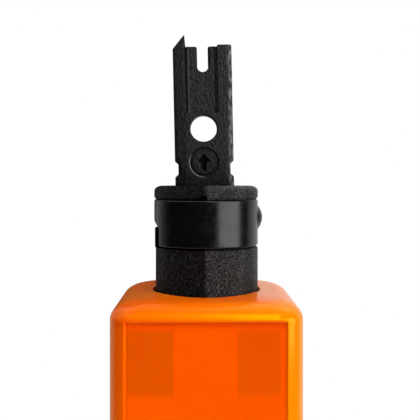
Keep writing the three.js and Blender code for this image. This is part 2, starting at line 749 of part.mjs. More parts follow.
function bladeSolid() {
  const half = BLADE.thickness / 2;
  return cut(across(bladeOutline(), -half, half), [bladeChannel(), knifeGrind(), bladeMark()]);
}

function addBlades() {
  addPart('blade', bladeSolid(), blackOxide());
  const shelf = POCKET.inner + 0.4 + BLADE.thickness / 2;
  const drop = POCKET.bottom + 0.6 - BLADE.bottom;
  addPart('spare_blade', bladeSolid().translate([0, shelf, drop]), blackOxide());
}

addShells();
addShellScrews();
addStorageDoor();
addForceDial();
addDialCam();
addSpringSeat();
addImpactSpring();
addHammer();
addSearPlate();
addSearSpring();
addSearRamp();
addNoseBody();
addNoseRings();
addLockBand();
addDetentBalls();
addAnvilRod();
addBlades();

export default group;
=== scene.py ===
"""Looks of an impact punch down tool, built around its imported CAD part.

All builders take millimetres in the CAD frame: +Z up to the blade's tip, -Y the front.
"""

import math

import bmesh
import bpy
import numpy as np
from mathutils import Matrix, Vector, noise


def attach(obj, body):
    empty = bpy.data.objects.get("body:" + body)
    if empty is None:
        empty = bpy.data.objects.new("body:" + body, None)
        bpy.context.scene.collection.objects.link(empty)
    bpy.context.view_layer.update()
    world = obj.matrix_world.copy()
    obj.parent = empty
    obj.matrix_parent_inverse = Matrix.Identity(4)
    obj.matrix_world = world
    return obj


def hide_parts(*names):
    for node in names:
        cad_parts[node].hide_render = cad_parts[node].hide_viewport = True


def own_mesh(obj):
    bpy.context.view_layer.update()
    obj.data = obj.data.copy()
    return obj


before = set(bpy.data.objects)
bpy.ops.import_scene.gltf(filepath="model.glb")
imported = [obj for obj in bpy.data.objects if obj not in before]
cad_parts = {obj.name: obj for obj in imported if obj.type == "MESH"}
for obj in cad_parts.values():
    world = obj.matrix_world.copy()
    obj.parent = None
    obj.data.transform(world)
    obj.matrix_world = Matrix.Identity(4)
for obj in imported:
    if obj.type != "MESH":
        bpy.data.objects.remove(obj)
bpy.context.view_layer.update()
MM = 0.001

# ---- Driving dimensions, in millimetres, the same as the CAD part's ----

HANDLE = {"a": 14.65, "b": 13.7, "top": 122.0, "corner": {-1: 4.0, 1: 6.0}}
# The end edges are rounded as quarter ellipses.
END_EDGE = {"height": 2.9, "x": 4.1, "y": {-1: 4.2, 1: 2.8}}
SEAM = 0.002  # half the gap between the shells at the parting line
CLEAR = 0.03  # how much wider the shells' tools are than the CAD holes they follow
# How the end face rises towards the nose: share of the distance to the edge, and rise.
CROWN = ((0.93, 0.08), (0.85, 0.16), (0.7, 0.22), (0.4, 0.26))
PANEL = {"left": 12.12, "right": 11.85, "low": 14.0, "high": 119.3, "floor": 13.2}
# The block that the shells' inner rooms are cut from. Y is measured away from the parting line.
CORE = {"x": 13.3, "y": (-0.5, 12.6), "z": (1.3, 119.0)}
GRIP = {"count": 9, "first": 38.0, "pitch": 6.0, "half": 1.25, "depth": 0.6, "length": 7.5}
NECK = 8.8
BAND = {"outer": 8.6, "inner": 8.0, "low": 129.5, "high": 136.95}
BLADE = {"half": 4.85, "thick": 3.0, "low": 111.9, "high": 164.1}
# How far below the blade's tip its notches, ringed mark, hole, channel and slot are.
NOTCH_DOWN, MARK_DOWN, HOLE_DOWN, CHANNEL_DOWN, SLOT_DOWN = 22.1, 21, 15.4, 12.9, 5.2
DETENT_Z = 134.0
BLADE_LEAN = -1.2  # degrees to the left about the detent, within the play of its socket
BLADE_SIDE = -0.1
DIAL_Z = 10.5
DOOR_PIN = {"y": 12.0, "z": 62.0}
SCREWS = [(-10.4, 108.0), (10.4, 108.0), (-9.6, 36.0), (9.6, 36.0)]
SPARE_SHIFT = (0.0, 8.9, -106.8)
THREAD = {"pitch": 0.8, "depth": 0.12}


# ---- Mesh builders ----

def add_object(name, points, faces):
    mesh = bpy.data.meshes.new(name)
    mesh.from_pydata([tuple(c * MM for c in p) for p in points], [], faces)
    obj = bpy.data.objects.new(name, mesh)
    bpy.context.scene.collection.objects.link(obj)
    tidy_mesh(obj)
    return obj


def tidy_mesh(obj, merge=1e-7):
    """Merges doubled points, drops empty faces and turns every face outwards."""
    bm = bmesh.new()
    bm.from_mesh(obj.data)
    bmesh.ops.remove_doubles(bm, verts=bm.verts, dist=merge)
    bmesh.ops.dissolve_degenerate(bm, edges=bm.edges, dist=merge)
    bmesh.ops.recalc_face_normals(bm, faces=bm.faces)
    bm.to_mesh(obj.data)
    bm.free()


def place(axis, u, v, w):
    """Two coordinates across an axis and one along it, as X, Y and Z."""
    return {"Z": (u, v, w), "X": (w, u, v), "Y": (u, w, v)}[axis]


def lathe(name, profile, segments=96, axis="Z", at=(0, 0, 0), shape=None):
    """A closed profile of (radius, height) turned about an axis.

    shape gives the radius and height to use for each (radius, height, angle).
    """
    points, faces, count = [], [], len(profile)
    for i in range(segments):
        angle = 2 * math.pi * i / segments
        for r, h in profile:
            if shape:
                r, h = shape(r, h, angle)
            x, y, z = place(axis, r * math.cos(angle), r * math.sin(angle), h)
            points.append((x + at[0], y + at[1], z + at[2]))
        j = (i + 1) % segments
        for k in range(count):
            m = (k + 1) % count
            faces.append((i * count + k, j * count + k, j * count + m, i * count + m))
    return add_object(name, points, faces)


def prism(name, outline, low, high, axis="Z"):
    """A flat outline carried along an axis."""
    count = len(outline)
    points = [place(axis, u, v, w) for w in (low, high) for u, v in outline]
    faces = [tuple(range(count)), tuple(range(count, 2 * count))]
    faces += [(k, (k + 1) % count, count + (k + 1) % count, count + k) for k in range(count)]
    return add_object(name, points, faces)


def box(name, x, y, z):
    return prism(name, [(x[0], y[0]), (x[1], y[0]), (x[1], y[1]), (x[0], y[1])], z[0], z[1])


def arc(cx, cy, radius, start, end, steps):
    """Points on an arc, with its angles in degrees."""
    angles = np.radians(np.linspace(start, end, steps + 1))
    return [(cx + radius * math.cos(t), cy + radius * math.sin(t)) for t in angles]


def rounded_rectangle(half_u, half_v, radius, steps=6, cu=0.0, cv=0.0):
    points = []
    for su, sv, start in ((1, 1, 0), (-1, 1, 90), (-1, -1, 180), (1, -1, 270)):
        u, v = cu + su * (half_u - radius), cv + sv * (half_v - radius)
        points += arc(u, v, radius, start, start + 90, steps)
    return points


def rod(name, radius, low, high, axis="Z", at=(0, 0, 0), edge=0.0):
    """A round bar with bevelled ends."""
    profile = [(0, low), (radius - edge, low), (radius, low + edge)]
    profile += [(radius, high - edge), (radius - edge, high), (0, high)]
    return lathe(name, profile, 48, axis, at)


def combine(obj, tools, operation):
    for tool in tools:
        modifier = obj.modifiers.new("combine", "BOOLEAN")
        modifier.object = tool
        modifier.operation = operation
        modifier.solver = "EXACT"
        graph = bpy.context.evaluated_depsgraph_get()
        old, obj.data = obj.data, bpy.data.meshes.new_from_object(obj.evaluated_get(graph))
        obj.modifiers.remove(modifier)
        bpy.data.meshes.remove(old)
        bpy.data.objects.remove(tool)
    return obj


def carve(obj, *tools):
    return combine(obj, tools, "DIFFERENCE")


def weld(obj, *tools):
    return combine(obj, tools, "UNION")


def finish_piece(obj, body, material, slot, *nodes, crease=32.0, bevel=0.0):
    """Shades a piece, gives it its finish, ties it to its body and hides the CAD nodes it stands in for."""
    tidy_mesh(obj)
    obj.data.shade_smooth()
    obj.data.set_sharp_from_angle(angle=math.radians(crease))
    if bevel:
        soft = obj.modifiers.new("soft edges", "BEVEL")
        soft.width = bevel * MM
        soft.segments = 2
        soft.limit_method = "ANGLE"
        soft.angle_limit = math.radians(crease)
    even = obj.modifiers.new("even shading", "WEIGHTED_NORMAL")
    even.keep_sharp = True
    even.weight = 80
    obj.data.materials.clear()
    obj.data.materials.append(material)
    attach(obj, body)
    if nodes:
        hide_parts(*nodes)
    return obj


# ---- Materials ----

class Nodes:
    """A short way to wire a material."""

    def __init__(self, name):
        self.material = bpy.data.materials.new(name)
        self.material.use_nodes = True
        self.tree = self.material.node_tree
        self.shader = self.tree.nodes["Principled BSDF"]
        self.coords = self.tree.nodes.new("ShaderNodeTexCoord").outputs["Object"]

    def add(self, kind, inputs=(), **settings):
        node = self.tree.nodes.new(kind)
        for key, value in settings.items():
            setattr(node, key, value)
        for key, value in dict(inputs).items():
            self.set(node.inputs[key], value)
        return node

    def set(self, socket, value):
        if isinstance(value, bpy.types.NodeSocket):
            self.tree.links.new(value, socket)
        else:
            socket.default_value = value

    def surface(self, **values):
        for key, value in values.items():
            self.set(self.shader.inputs[key.replace("_", " ")], value)

    def noise(self, scale, detail=4.0, rough=0.55, stretch=None):
        """Noise with features about 1 / scale metres wide."""
        vector = self.coords
        if stretch:
            vector = self.add("ShaderNodeMapping", {"Vector": vector, "Scale": stretch}).outputs[0]
        inputs = {"Vector": vector, "Scale": scale, "Detail": detail, "Roughness": rough}
        return self.add("ShaderNodeTexNoise", inputs).outputs["Fac"]

    def cells(self, scale):
        inputs = {"Vector": self.coords, "Scale": scale}
        return self.add("ShaderNodeTexVoronoi", inputs).outputs["Distance"]

    def span(self, value, low, high, out_low=0.0, out_high=1.0, smooth=False):
        inputs = {"Value": value, "From Min": low, "From Max": high}
        inputs.update({"To Min": out_low, "To Max": out_high})
        kind = "SMOOTHSTEP" if smooth else "LINEAR"
        return self.add("ShaderNodeMapRange", inputs, interpolation_type=kind).outputs["Result"]

    def math(self, operation, a, b=0.0):
        return self.add("ShaderNodeMath", {0: a, 1: b}, operation=operation).outputs[0]

    def product(self, first, *others):
        for other in others:
            first = self.math("MULTIPLY", first, other)
        return first

    def distance(self, a, b):
        return self.math("SQRT", self.math("ADD", self.product(a, a), self.product(b, b)))

    def mix(self, factor, a, b, blend="MIX"):
        node = self.add("ShaderNodeMix", data_type="RGBA", blend_type=blend)
        self.set(node.inputs["Factor"], factor)
        self.set(node.inputs["A"], a)
        self.set(node.inputs["B"], b)
        return node.outputs["Result"]

    def bump(self, height, distance, strength=1.0, under=None):
        inputs = {"Height": height, "Distance": distance, "Strength": strength}
        if under is not None:
            inputs["Normal"] = under
        return self.add("ShaderNodeBump", inputs).outputs["Normal"]

    def axis(self, letter):
        split = self.add("ShaderNodeSeparateXYZ", {"Vector": self.coords})
        return split.outputs[letter]


def shade(r, g, b):
    """A colour given as it looks on a screen, as linear light."""
    def linear(c):
        c /= 255
        return c / 12.92 if c <= 0.04045 else ((c + 0.055) / 1.055) ** 2.4
    return (linear(r), linear(g), linear(b), 1.0)


def panel_tones(n, colour):
    """The panel's two darker patches, a painted shadow under its upper rim and painted light on its frame,
    yellower to the right.
    """
    across, depth, up = n.axis("X"), n.axis("Y"), n.axis("Z")
    front = n.span(depth, -0.0125, -0.012, 1, 0)
    low = n.span(up, 0.1076, 0.1093, smooth=True)
    high = n.span(up, 0.1177, 0.1184, 1, 0, smooth=True)
    for left, right, amount in ((-0.0121, -0.0046, 0.56), (0.0042, 0.0112, 0.46)):
        inside = n.product(n.span(across, left, left + 0.0006, smooth=True),
                           n.span(across, right - 0.0006, right, 1, 0, smooth=True), front)
        patch = n.product(n.product(inside, low), n.product(high, amount))
        colour = n.mix(patch, colour, (0.58, 0.072, 0.0, 1))
    # Painted shadow: a darker red band just under the panel's upper rim, where the rim's overhang would shade
    # the face.
    painted_rim_shadow = n.product(n.span(up, 0.1177, 0.1191, smooth=True), n.span(up, 0.1192, 0.1194, 0.6, 0), front)
    colour = n.mix(painted_rim_shadow, colour, (0.7, 0.04, 0.0, 1))
    # Painted light: the frame round the panel is coloured a yellower orange, strongest on the right and
    # weaker low down, as a lamp on the right would light it.
    beside = n.span(n.math("ABSOLUTE", n.math("ADD", across, 0.00013)), 0.0118, 0.0121)
    frame_light_share = n.product(
        n.math("MAXIMUM", beside, n.span(up, 0.1193, 0.1196)),
        n.span(up, 0.1216, 0.1221, 1, 0),
        n.span(depth, -0.0085, -0.0078, 1, 0),
        n.span(up, 0.08, 0.105, 0.4, 1),
    )
    painted_right_light = n.product(frame_light_share, n.span(across, -0.014, 0.013, 0.1, 1.0))
    return n.mix(painted_right_light, colour, (0.93, 0.215, 0.0, 1))


def orange_plastic(name, panel=True):
    """Glossy orange plastic, dull inside the bore that the nose slides in."""
    n = Nodes(name)
    colour = n.mix(n.span(n.noise(90, 2), 0.3, 0.7), (0.9, 0.08, 0.0, 1), (0.93, 0.092, 0.0, 1))
    if panel:
        colour = panel_tones(n, colour)
    rough = n.span(n.noise(500, 3), 0.35, 0.75, 0.15, 0.2)
    fine = n.bump(n.noise(1500, 3), 0.000008, 0.15)
    normal = n.bump(n.noise(110, 2), 0.00003, 0.3, fine)
    outside = n.span(n.distance(n.axis("X"), n.axis("Y")), 0.0089, 0.0091)
    n.surface(Base_Color=colour, Roughness=rough, Normal=normal)
    n.surface(Specular_IOR_Level=n.product(outside, 0.8), Specular_Tint=(1.0, 0.62, 0.0, 1.0))
    n.surface(Sheen_Weight=n.product(outside, 0.4), Sheen_Roughness=0.4, Sheen_Tint=(1.0, 0.5, 0.0, 1.0))
    n.surface(Subsurface_Weight=0.1, Subsurface_Radius=(0.9, 0.25, 0.05), Subsurface_Scale=0.0012)
    return n.material


def cast_black():
    """Black paint over a cast grain, with painted light right of the mould seam: a lighter colour there,
    fading towards the right edge, and more gloss. The recess stays dull.
    """
    n = Nodes("cast_nose")
    grain = n.noise(4200, 3, 0.65)
    pits = n.cells(2800)
    across, up = n.axis("X"), n.axis("Z")
    # Painted light: right of the mould seam the colour turns lighter and the gloss higher, as if a lamp on
    # the right lit that side.
    right_light_and_gloss = n.product(n.span(across, -0.0004, 0.0003), n.span(across, 0.0056, 0.0066, 1, 0.35))
    tops = n.span(grain, 0.47, 0.6)
    dull = n.mix(tops, shade(1, 1, 1), shade(5, 7, 7))
    painted_lit_tone = n.mix(tops, shade(8, 10, 10), shade(54, 61, 63))
    recess = n.product(n.span(up, 0.1291, 0.1293), n.span(up, 0.137, 0.1372, 1, 0))
    gloss = n.math("ADD", n.span(tops, 0, 1, 0.03, 0.3), n.product(right_light_and_gloss, n.span(tops, 0, 1, 0.25, 0.85)))
    gloss = n.product(gloss, n.span(recess, 0, 1, 1, 0.15))
    rough = n.span(grain, 0.3, 0.7, 0.48, 0.3)
    normal = n.bump(grain, 0.0007, 1.0, n.bump(pits, 0.00015, 0.5))
    n.surface(Base_Color=n.mix(right_light_and_gloss, dull, painted_lit_tone), Roughness=rough, Normal=normal)
    n.surface(Specular_IOR_Level=gloss)
    return n.material


def gloss_black():
    n = Nodes("band_gloss_black")
    film = n.noise(260, 3)
    colour = n.mix(n.span(film, 0.3, 0.7), shade(2, 2, 2), shade(6, 6, 6))
    rough = n.span(n.noise(900, 4), 0.35, 0.7, 0.2, 0.3)
    normal = n.bump(n.noise(420, 2), 0.00002, 0.5)
    n.surface(Base_Color=colour, Roughness=rough, Normal=normal, Specular_IOR_Level=0.37)
    return n.material


def black_oxide():
    """Blackened steel, darker low down and worn bright along its right edge, with a painted highlight on the
    lower left of the mark's rim and painted shade in the mark.
    """
    n = Nodes("black_oxide_steel")
    across, up = n.axis("X"), n.axis("Z")
    grain = n.noise(2600, 3, 0.6, stretch=(1, 1, 0.55))
    brushed = n.noise(900, 3, 0.6, stretch=(1, 1, 0.12))
    flecks = n.span(n.noise(2600, 3, 0.6, stretch=(1, 1, 0.3)), 0.42, 0.6)
    colour = n.mix(n.span(grain, 0.35, 0.68), shade(2, 2, 3), shade(25, 25, 26))
    low = n.product(n.span(up, 0.1375, 0.144, 0.85, 0), n.span(up, 0.11, 0.111))
    colour = n.mix(low, colour, shade(4, 4, 4))
    upright = n.math("ADD", across, n.product(n.math("SUBTRACT", up, 0.134), 0.0209))
    worn = n.product(n.span(upright, 0.0038, 0.0043), flecks, n.span(up, 0.12, 0.121), 0.7)
    colour = n.mix(worn, colour, shade(120, 120, 118))
    dx, dz = n.math("ADD", across, 0.00029), n.math("SUBTRACT", up, 0.1431)
    away = n.distance(dx, dz)
    # Painted highlight: a thin bright arc coloured onto the lower left of the ring round the mark.
    highlight_side = n.span(n.math("ADD", dx, n.product(dz, 0.6)), -0.0022, -0.001, 0.7, 0)
    lip = n.product(n.span(away, 0.00236, 0.00242), n.span(away, 0.00248, 0.00254, 1, 0), highlight_side)
    colour = n.mix(lip, colour, shade(150, 150, 148))
    # Painted shade: the arrow's sunk floor is coloured near black and made less glossy.
    mark = n.product(n.span(away, 0.0018, 0.0019, 1, 0), n.span(n.axis("Y"), -0.00135, -0.00125))
    colour = n.mix(mark, colour, shade(1, 1, 1))
    rough = n.span(brushed, 0.3, 0.7, 0.38, 0.55)
    normal = n.bump(grain, 0.00022, 0.9, n.bump(brushed, 0.00003, 0.5))
    gloss = n.product(n.span(up, 0.138, 0.1445, 0.12, 0.38), n.span(across, -0.0034, -0.0031, 0.6, 1))
    gloss = n.product(gloss, n.span(mark, 0, 1, 1, 0.2))
    n.surface(Base_Color=colour, Roughness=rough, Normal=normal, Metallic=0.35)
    n.surface(Specular_IOR_Level=gloss)
    return n.material


def steel(name, bright):
    n = Nodes(name)
    turned = n.noise(1400, 3, 0.6, stretch=(0.25, 0.25, 1))
    tone = n.span(n.noise(300, 2), 0.3, 0.7)
    dark = shade(bright - 14, bright - 13, bright - 10)
    colour = n.mix(tone, dark, shade(bright, bright, bright))
    n.surface(Base_Color=colour, Metallic=1.0, Roughness=n.span(turned, 0.3, 0.7, 0.22, 0.4),
              Normal=n.bump(turned, 0.00002, 0.6))
    return n.material


def black_rubber():
    n = Nodes("black_rubber")
    grain = n.noise(1800, 4)
    colour = n.mix(grain, shade(18, 18, 18), shade(34, 33, 32))
    n.surface(Base_Color=colour, Roughness=n.span(grain, 0.3, 0.7, 0.75, 0.95),
              Normal=n.bump(grain, 0.00006, 0.8))
    return n.material


def black_plastic():
    n = Nodes("black_plastic")
    grain = n.noise(1500, 4, 0.6)
    colour = n.mix(grain, shade(24, 24, 25), shade(36, 36, 38))
    n.surface(Base_Color=colour, Roughness=n.span(grain, 0.3, 0.7, 0.36, 0.5),
              Normal=n.bump(grain, 0.00004, 0.6))
    return n.material


# ---- Handle shells ----

# The panel's rim: distance inwards from its edge and how far the face is let in there.
LIP = ((-0.24, 0.0), (-0.14, 0.02), (-0.06, 0.08), (0.0, 0.18), (0.05, 0.34),
       (0.11, 0.52), (0.2, 0.62), (0.32, 0.62), (0.44, 0.52), (0.56, 0.5))
END_LIP = ((-0.2, 0.0), (-0.08, 0.03), (0.0, 0.12), (0.05, 0.35), (0.1, 0.47), (0.18, 0.5))


def groove_depth(y, z):
    """How deep the side grip is at a place on a side face."""
    end = GRIP["length"]
    fade = np.interp(abs(y), (end - 1.2, end - 0.8, end - 0.2, end), (1.0, 0.85, 0.15, 0.0))
    k = min(max(round((z - GRIP["first"]) / GRIP["pitch"]), 0), GRIP["count"] - 1)
    t = min(abs(z - GRIP["first"] - k * GRIP["pitch"]) / GRIP["half"], 1.0)
    return GRIP["depth"] * fade * 0.5 * (1 + math.cos(math.pi * t))


def shell_heights():
    """Levels of the shell's mesh: dense at the end edges, the panel's rim and the grip grooves."""
    edge = END_EDGE["height"]
    turn = np.linspace(0, math.pi / 2, 16)
    levels = list(edge * (1 - np.cos(turn))) + list(HANDLE["top"] - edge + edge * np.sin(turn))
    for rim, side in ((PANEL["low"], 1), (PANEL["high"], -1)):
        levels += [rim + side * d for d, _ in END_LIP]
    for i in range(GRIP["count"]):
        middle = GRIP["first"] + i * GRIP["pitch"]
        levels += list(middle + np.linspace(-GRIP["half"], GRIP["half"], 11))
    levels += list(np.arange(6.0, 120.0, 4.0))
    levels.sort()
    kept = [levels[0]]
    for z in levels[1:]:
        if z - kept[-1] > 0.02:
            kept.append(z)
    kept[-1] = HANDLE["top"]
    return kept


def corner_turns(side, rim):
    """Angles round a plan corner from the side face, with lines along the panel's rim at the front."""
    if side > 0:
        return list(np.radians(np.linspace(0, 90, 17)))
    turns = list(np.radians(np.linspace(0, 60, 9)))
    start = HANDLE["a"] - HANDLE["corner"][side]
    for d, _ in LIP:
        turns.append(math.acos((rim - d - start) / HANDLE["corner"][side]))
    turns += list(np.radians((82.0, 86.0, 90.0)))
    return sorted(turns)


def half_row(z, side, turns):
    """One level of a half shell's outer face, from a parting edge round to the middle."""
    top, a0, b0 = HANDLE["top"], HANDLE["a"], HANDLE["b"]
    reach = max(END_EDGE["height"] - z, z - (top - END_EDGE["height"]), 0.0) / END_EDGE["height"]
    inset = 1 - math.sqrt(max(1 - reach ** 2, 0.0))
    a, b = a0 - inset * END_EDGE["x"], b0 - inset * END_EDGE["y"][side]
    corner = HANDLE["corner"][side] * (1 - 0.3 * inset)
    straight = b0 - HANDLE["corner"][side]
    lines = [SEAM, SEAM + 0.05, SEAM + 0.12, 2.5, 5.0]
    lines += [GRIP["length"] - d for d in (1.2, 0.8, 0.5, 0.2, 0.0)] + [straight]
    half = []
    for y in lines:
        bevel = {SEAM: 0.12, SEAM + 0.05: 0.05}.get(y, 0.0)
        x = a - bevel - (groove_depth(y, z) if y < straight else 0.0)
        half.append((x, y * (b - corner) / straight if y > 1 else y))
    for t in turns[1:]:
        half.append((a - corner + corner * math.cos(t), b - corner + corner * math.sin(t)))
    return half + [(half[-1][0] * f, b) for f in (0.75, 0.5, 0.25)]


def shell_row(z, side, right, left):
    """One level of a half shell's outer face, from the right parting edge round to the left one."""
    row = half_row(z, side, right)
    row += [(0.0, row[-1][1])] + [(-x, y) for x, y in reversed(half_row(z, side, left))]
    if side < 0:
        row = [(x, sunk(x, y, z)) for x, y in row]
    return [(x, side * y, z) for x, y in row]


def sunk(x, y, z):
    """The front face's distance from the middle, let in where the panel is."""
    if y < 9:
        return y
    rim = PANEL["right"] if x > 0 else PANEL["left"]
    across = np.interp(rim - abs(x), *zip(*LIP)) / LIP[-1][1]
    across = min(across, 1.0 if x > 0 else 1.3)
    along = np.interp(min(z - PANEL["low"], PANEL["high"] - z), *zip(*END_LIP)) / END_LIP[-1][1]
    return y + (PANEL["floor"] - y) * across * along


def outer_half(name, side):
    right, left = corner_turns(side, PANEL["right"]), corner_turns(side, PANEL["left"])
    rows = [shell_row(z, side, right, left) for z in shell_heights()]
    edge = rows[-1]
    for share, rise in CROWN:
        rows.append([(x * share, side * (SEAM + (abs(y) - SEAM) * share), z + rise)
                     for x, y, z in edge])
    width = len(rows[0])
    points = [p for row in rows for p in row]
    faces = [tuple(range(width)), tuple(range(len(points) - width, len(points)))]
    for i in range(len(rows) - 1):
        for k in range(width):
            m = (k + 1) % width
            faces.append((i * width + k, i * width + m, (i + 1) * width + m, (i + 1) * width + k))
    return add_object(name, points, faces)


def cad_copy(node):
    copy = bpy.data.objects.new("copy_" + node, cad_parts[node].data.copy())
    bpy.context.scene.collection.objects.link(copy)
    copy.data.materials.clear()
    tidy_mesh(copy, 1e-6)
    return copy


def cavity(name, node, side):
    """The rooms inside a CAD shell: a core block less the shell's own walls and ribs."""
    y = sorted(side * edge for edge in CORE["y"])
    core = box(name, (-CORE["x"], CORE["x"]), y, CORE["z"])
    return carve(core, cad_copy(node))


def neck_tool():
    r, floor = NECK + CLEAR, 98 - CLEAR
    profile = [(0, floor), (r, floor), (r, 122.1), (r + 0.04, 122.17), (r + 0.04, 123), (0, 123)]
    return lathe("neck_tool", profile, 144)


def screw_tools():
    bore, head, floor = 1.1 + CLEAR, 2.0 + CLEAR, 6.0 - CLEAR
    profile = [(0, -7.5), (bore, -7.5), (bore, floor), (head, floor)]
    profile += [(head, 13.45), (2.25, 13.75), (2.25, 15), (0, 15)]
    return [lathe(f"screw_tool_{i}", profile, 48, "Y", (x, 0, z)) for i, (x, z) in enumerate(SCREWS)]


def dial_tool():
    bore, knob, end, floor = 2.3 + CLEAR, 6.3 + CLEAR, -12.4 - CLEAR, 12.8 - CLEAR
    profile = [(0, end), (bore, end), (bore, floor), (knob, floor)]
    profile += [(knob, 14.35), (6.6, 14.7), (6.6, 16), (0, 16)]
    return lathe("dial_tool", profile, 96, "X", (0, 0, DIAL_Z))


def add_shells(material):
    front = carve(outer_half("front_shell_body", -1), cavity("front_core", "front_shell", -1))
    carve(front, neck_tool(), *screw_tools(), dial_tool())
    finish_piece(front, "housing", material, "orange_plastic", "front_shell")

    rear = carve(outer_half("rear_shell_body", 1), cavity("rear_core", "rear_shell", 1))
    carve(rear, neck_tool(), *screw_tools(), dial_tool())
    pocket = rounded_rectangle(5.2 + CLEAR, 26.5 + CLEAR, 0.8, cv=31.0)
    rebate = rounded_rectangle(6.7 + CLEAR, 28.3 + CLEAR, 0.9, cv=31.5)
    knuckle = rounded_rectangle(3.8 + CLEAR, 3.2 + CLEAR, 0.5, cv=60.8)
    pin_at, pin_end = (0, DOOR_PIN["y"], DOOR_PIN["z"]), 6.5 + CLEAR
    carve(
        rear,
        prism("pocket_tool", pocket, 7.0 - CLEAR, 15, "Y"),
        prism("rebate_tool", rebate, 11.1 - CLEAR, 15, "Y"),
        prism("knuckle_tool", knuckle, 10.3 - CLEAR, 15, "Y"),
        rod("pin_tool", 1.1 + CLEAR, -pin_end, pin_end, "X", pin_at),
        rod("finger_tool", 3.0, -4.0, 4.0, "X", (0, 15.7, 2.3), edge=0.6),
    )
    finish_piece(rear, "housing", material, "orange_plastic", "rear_shell")


# ---- Nose ----

RECESS = 7.7
STOP = (-122.0, -68.0)


def from_front(angle):
    """Degrees from the front towards the right, for an angle about Z."""
    return math.degrees(math.atan2(math.cos(angle), -math.sin(angle)))


def nose_shape(r, z, angle):
    """Cast grain, two flats meeting in a mould seam at the front, a serrated stop and a dent.

    The recess under the band has no grain, so that its faces stay flat for the boolean cuts.
    """
    turn = from_front(angle)
    if r < 7.0 or not 119.0 < z < 139.5:
        return r, z
    if r == RECESS:
        serrated = 129.0 < z < 132.4 and STOP[0] < turn < STOP[1]
        return (8.5 - 0.4 * (round(turn / 1.5) % 2) if serrated else r), z
    grain = noise.fractal(Vector((r * math.cos(angle), r * math.sin(angle), z)) * 3.2, 0.8, 2.1, 3)
    move = 0.022 * grain
    if 119.0 < z < 129.15:
        move += 0.115 * math.cos(angle) - 0.03
        for middle, half in ((-9.0, 10.5), (9.0, 7.5)):
            if abs(turn - middle) < half:
                flat = math.cos(math.radians(half)) / math.cos(math.radians(turn - middle))
                move += r * (flat - 1)
    if z > 137.0:
        move *= 0.5
        move -= 0.22 * math.exp(-((turn + 3.5) / 4.0) ** 2 - ((z - 138.1) / 0.35) ** 2)
    return min(r + move, 8.62), z


def add_nose(material):
    quarter = math.pi / 2
    lip = [(8.6 - 1.3 * (1 - math.cos(t)), 138.35 + 0.9 * math.sin(t)) for t in np.linspace(0, quarter, 10)]
    under = [(8.6 - 0.2 * (1 - math.sin(t)), 137.45 - 0.2 * math.cos(t)) for t in np.linspace(0, quarter, 5)]
    profile = [(5.4, 91.5), (8.1, 91.5), (8.5, 91.9), (8.5, 93.5), (7.7, 93.5), (7.7, 95.7), (8.5, 95.7)]
    profile += [(8.5, 119.0)] + [(8.5, z) for z in np.arange(119.4, 129.15, 0.2)] + [(8.43, 129.2)]
    profile += [(RECESS, z) for z in (129.21, 132.3, 132.6, 136.4)]
    profile += [(7.92, 136.5), (7.92, 137.0), (8.4, 137.03)] + under + [(8.6, 137.9)] + lip
    profile += [(r, 139.25) for r in (6.8, 6.2)] + [(5.7, 139.25), (5.48, 139.17), (5.4, 138.95)]
    nose = lathe("nose_casting", profile, 240, shape=nose_shape)
    carve(
        nose,
        rod("ball_window_tool", 1.8, -9, 9, "X", (0, 0, DETENT_Z)),
        rod("pin_hole_tool", 1.2, -9, 9, "Y", (0, 0, 106.0)),
        prism("nick_tool", [(-2.1, 137.01), (0.1, 137.01), (0.1, 137.8), (-1.0, 137.55)], -9.5, -7.7, "Y"),
    )
    finish_piece(nose, "nose", material, "cast_nose", "nose_body", crease=40)


def band_start(z):
    """Where the band's front end is at a height, in degrees from the front, as an S in the height."""
    t = min(max((z - 132.2) / 2.2, 0.0), 1.0)
    return -65.0 - 32.0 * t * t * (3 - 2 * t)


def add_band(material):
    """An open ring of sheet with rolled rims, an S-shaped end and a swelling over the right ball."""
    low, high, outer, inner = BAND["low"], BAND["high"], BAND["outer"], BAND["inner"]
    rim = 0.22
    turn = np.linspace(0, math.pi / 2, 6)
    outside = [(outer - rim * (1 - math.sin(t)), low + rim * (1 - math.cos(t))) for t in turn]
    outside += [(outer, z) for z in np.linspace(low + rim, high - rim, 34)[1:-1]]
    outside += [(outer - rim * (1 - math.cos(t)), high - rim * (1 - math.sin(t))) for t in turn]
    inside = [(inner, z) for z in np.linspace(high - 0.06, low + 0.06, 34)]
    section = outside + inside
    count, columns = len(section), 220
    points = []
    for i in range(columns + 1):
        share = i / columns
        for r, z in section:
            turn_deg = band_start(z) + share * (235.0 - band_start(z))
            away = math.hypot((turn_deg - 90) * 0.15, z - DETENT_Z)
            if r > inner + 0.05:
                r += 0.75 * max(1 - (away / 2.0) ** 2, 0.0)
            ease = min(share, 1 - share) * columns
            if ease < 3 and r > inner + 0.05:
                r -= 0.2 * (1 - math.sin(ease / 3 * math.pi / 2))
            angle = math.radians(turn_deg)
            points.append((r * math.sin(angle), -r * math.cos(angle), z))
    faces = [tuple(range(count)), tuple(range(len(points) - count, len(points)))]
    for i in range(columns):
        for k in range(count):
            m = (k + 1) % count
            faces.append((i * count + k, (i + 1) * count + k, (i + 1) * count + m, i * count + m))
    band = add_object("lock_band_ring", points, faces)
    finish_piece(band, "nose", material, "band_gloss_black", "lock_band", crease=50)


# ---- Blade ----

SLOT = {"x": 0.05, "half": 0.9}
CORNER = 0.16


def notched_edge(side, centre):
    """One long edge's notch, as points on the outline in the direction of travel."""
    half, shoulder, depth = 1.3, 0.5, 0.55
    edge = side * BLADE["half"]
    waist = edge - side * depth
    return [(edge, centre - side * half), (waist, centre - side * (half - shoulder)),
            (waist, centre + side * (half - shoulder)), (edge, centre + side * half)]


